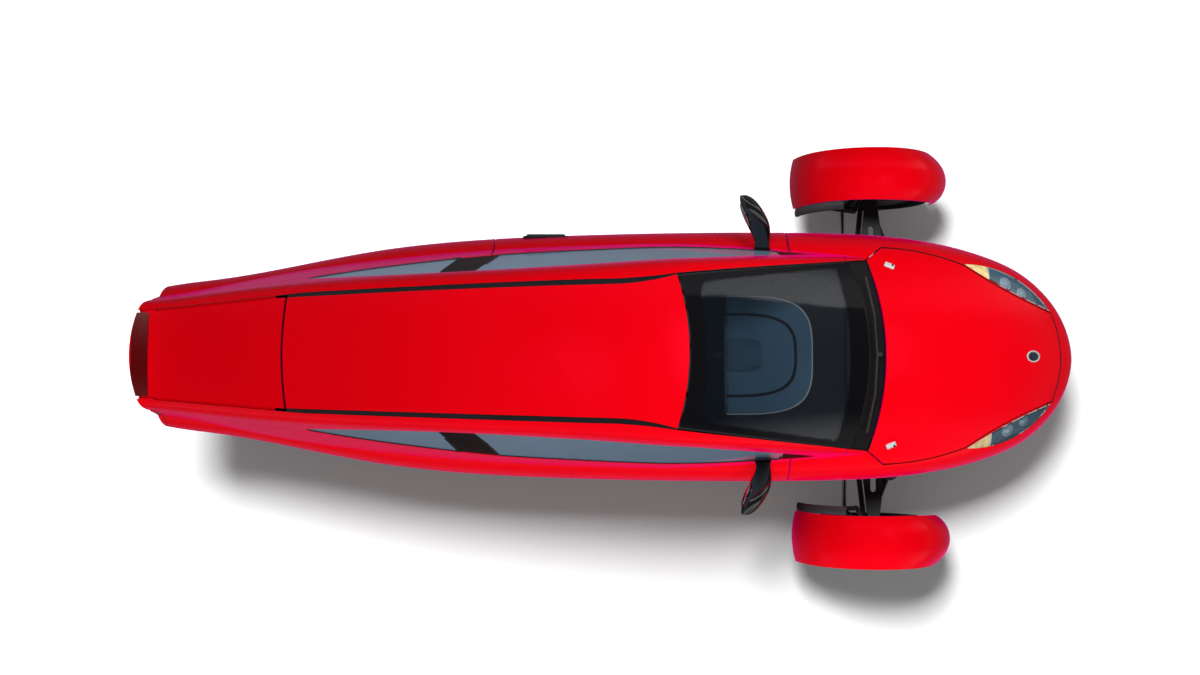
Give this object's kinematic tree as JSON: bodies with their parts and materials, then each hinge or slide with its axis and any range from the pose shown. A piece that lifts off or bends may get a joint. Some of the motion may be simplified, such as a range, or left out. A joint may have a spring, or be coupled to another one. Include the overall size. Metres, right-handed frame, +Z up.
{
  "type": "tandem three wheeled car",
  "caption": "Low two-seat car with a tapering body, a domed cabin over tandem seats, separate front wheels under turning fenders, and one wheel in the tail.",
  "frame": {"origin": "on the ground, halfway along the car, on its centre line", "axes": "+X towards the nose, +Y to the car's left, +Z up"},
  "size_m": [3.9749, 1.8182, 1.368],
  "materials": {
    "paint": "bright red gloss paint",
    "gloss_black": "gloss black",
    "underbody": "satin black underbody paint",
    "black_plastic": "matt black",
    "dash_plastic": "grained dark grey",
    "glass": "lightly tinted",
    "clear_lens": "clear moulded lens",
    "amber_lens": "amber lens",
    "red_lens": "red lens",
    "lamp_bowl": "silvered reflector bowl",
    "tyre": "black rubber",
    "alloy": "painted alloy",
    "black_metal": "semi-gloss black",
    "cast": "cast alloy casing",
    "soft_black": "black grained rim",
    "seat_cloth": "charcoal woven cloth"
  },
  "bodies": {
    "chassis": {"front_panels": "paint", "side_panel_left": "paint", "side_panel_right": "paint", "roof_rails": "paint", "pillars": "gloss_black", "roof_panel": "paint", "rear_valance": "paint", "roof_channels": "gloss_black", "pillar_trims": "gloss_black", "mirror_right": "gloss_black", "floor_pan": "underbody", "wheel_tub": "black_plastic", "grille": "black_plastic", "dashboard": "dash_plastic", "cowl": "black_plastic", "wiper": "black_plastic", "windscreen": "glass", "side_glass_right": "glass", "quarter_glasses": "glass", "headlamp_lenses": "clear_lens", "indicator_lenses": "amber_lens", "tail_lamps": "red_lens", "headlamp_bowls": "lamp_bowl", "lower_arms": "black_metal", "upper_arms": "black_metal", "coilovers": "black_metal", "front_subframe": "black_metal", "swing_arm": "black_metal", "rear_dampers": "black_metal", "engine_block": "cast", "front_seat": "seat_cloth", "rear_seat": "seat_cloth"},
    "hood": {"hood": "paint"},
    "tail_lid": {"tail_lid": "paint"},
    "door_left": {"door_left": "paint", "door_glass": "glass", "mirror_left": "gloss_black"},
    "steering_wheel": {"steering_wheel": "soft_black"},
    "steering_rack": {"steering_rack": "black_metal"},
    "knuckle_left": {"knuckle_left": "black_metal", "fender_left": "paint"},
    "knuckle_right": {"knuckle_right": "black_metal", "fender_right": "paint"},
    "wheel_front_left": {"rim_front_left": "alloy", "tyre_front_left": "tyre"},
    "wheel_front_right": {"rim_front_right": "alloy", "tyre_front_right": "tyre"},
    "wheel_rear": {"rim_rear": "alloy", "tyre_rear": "tyre"}
  },
  "joints": [
    {"name": "hood_hinge", "type": "hinge", "parent": "chassis", "child": "hood", "pos_m": [1.115, 0, 0.872], "axis": [0, -1, 0], "range_deg": [0, 55]},
    {"name": "tail_lid_hinge", "type": "hinge", "parent": "chassis", "child": "tail_lid", "pos_m": [-1.345, 0, 1.146], "axis": [0, 1, 0], "range_deg": [0, 65]},
    {"name": "door_hinge", "type": "hinge", "parent": "chassis", "child": "door_left", "pos_m": [0.699, 0.524, 0.5], "axis": [0, 0, -1], "range_deg": [0, 65]},
    {"name": "steer_left", "type": "hinge", "parent": "chassis", "child": "knuckle_left", "pos_m": [1.125, 0.785, 0.3], "axis": [0, 0, 1], "range_deg": [-24, 24]},
    {"name": "steer_right", "type": "hinge", "parent": "chassis", "child": "knuckle_right", "pos_m": [1.125, -0.785, 0.3], "axis": [0, 0, 1], "range_deg": [-24.5, 24.5]},
    {"name": "steering_wheel_turn", "type": "hinge", "parent": "chassis", "child": "steering_wheel", "pos_m": [0.262, 0, 0.835], "axis": [-0.9136, 0, 0.4067], "range_deg": [-340, 340]},
    {"name": "rack_slide", "type": "slide", "parent": "chassis", "child": "steering_rack", "axis": [0, 1, 0], "range_m": [-0.047, 0.047]},
    {"name": "wheel_spin_front_left", "type": "hinge", "parent": "knuckle_left", "child": "wheel_front_left", "pos_m": [1.125, 0.785, 0.3], "axis": [0, 1, 0], "continuous": true},
    {"name": "wheel_spin_front_right", "type": "hinge", "parent": "knuckle_right", "child": "wheel_front_right", "pos_m": [1.125, -0.785, 0.3], "axis": [0, 1, 0], "continuous": true},
    {"name": "wheel_spin_rear", "type": "hinge", "parent": "chassis", "child": "wheel_rear", "pos_m": [-1.64, 0, 0.3], "axis": [0, 1, 0], "continuous": true}
  ],
  "couplings": [
    {"joint": "steer_right", "follows": "steer_left", "ratio": 1},
    {"joint": "steering_wheel_turn", "follows": "steer_left", "ratio": 14},
    {"joint": "rack_slide", "follows": "steer_left", "m_per_rad": -0.108}
  ]
}
